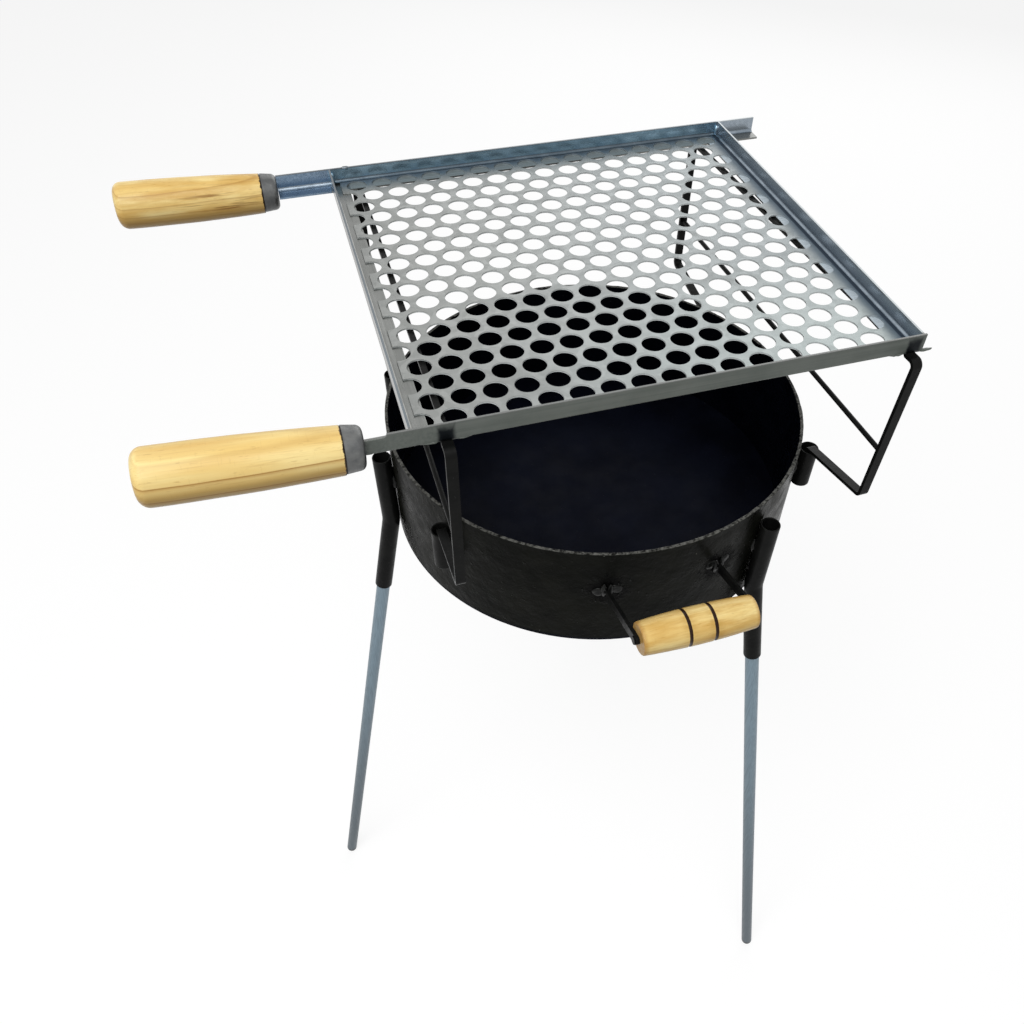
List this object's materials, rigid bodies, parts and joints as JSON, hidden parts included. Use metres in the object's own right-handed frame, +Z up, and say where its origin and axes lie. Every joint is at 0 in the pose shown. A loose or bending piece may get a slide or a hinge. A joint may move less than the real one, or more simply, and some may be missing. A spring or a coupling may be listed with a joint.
{
  "type": "cylinder barbecue grill",
  "caption": "Round charcoal pan on slim pull-out tube legs, with a lift-off perforated grill tray on two hooked racks, wooden tray handles and a wooden carry grip.",
  "frame": {"origin": "centre of the bounding box on the ground, below the grill tray's middle", "axes": "+Z up, -X towards the two wooden grill handles, -Y towards the carry grip on the pan"},
  "size_m": [0.5624, 0.5634, 0.8885],
  "materials": {
    "black_paint": "satin black heat-proof paint, speckled and worn at the rim",
    "zinc_frame": "galvanised, folded and welded",
    "zinc_sheet": "galvanised, punched with round holes",
    "leg_tube": "satin drawn tube with a darker foot",
    "ferrule_steel": "dark drawn sheet",
    "pine_wood": "turned pine, clear varnish"
  },
  "bodies": {
    "pan": {"pan_wall": "black_paint", "pan_floor": "black_paint", "pan_welds": "black_paint", "leg_socket_left": "black_paint", "leg_socket_front_right": "black_paint", "leg_socket_back_right": "black_paint", "rack_tube_front_left": "black_paint", "rack_tube_front_right": "black_paint", "rack_tube_back_left": "black_paint", "rack_tube_back_right": "black_paint", "carry_arm_left": "black_paint", "carry_arm_right": "black_paint", "carry_rod": "black_paint"},
    "carry_handle": {"carry_grip": "pine_wood"},
    "left_leg": {"leg_left": "leg_tube"},
    "front_right_leg": {"leg_front_right": "leg_tube"},
    "back_right_leg": {"leg_back_right": "leg_tube"},
    "grill": {"rack_left": "black_paint", "rack_right": "black_paint", "rack_rod_left": "black_paint", "rack_rod_right": "black_paint", "grill_bar_front": "zinc_frame", "grill_bar_back": "zinc_frame", "grill_bar_left": "zinc_frame", "grill_bar_right": "zinc_frame", "grill_sheet": "zinc_sheet", "handle_ferrule_front": "ferrule_steel", "handle_ferrule_back": "ferrule_steel", "handle_front": "pine_wood", "handle_back": "pine_wood"}
  },
  "joints": [
    {"name": "grill_lift", "type": "slide", "parent": "pan", "child": "grill", "axis": [0, 0, 1], "range_m": [0, 0.06]},
    {"name": "carry_grip_spin", "type": "hinge", "parent": "pan", "child": "carry_handle", "pos_m": [0.07166, -0.235, 0.704], "axis": [1, 0, 0], "continuous": true},
    {"name": "left_leg_slide", "type": "slide", "parent": "pan", "child": "left_leg", "axis": [-0.2022, 0, -0.9793], "range_m": [0, 0.09]},
    {"name": "front_right_leg_slide", "type": "slide", "parent": "pan", "child": "front_right_leg", "axis": [0.1011, -0.1752, -0.9793], "range_m": [0, 0.09]},
    {"name": "back_right_leg_slide", "type": "slide", "parent": "pan", "child": "back_right_leg", "axis": [0.1011, 0.1752, -0.9793], "range_m": [0, 0.09]}
  ]
}
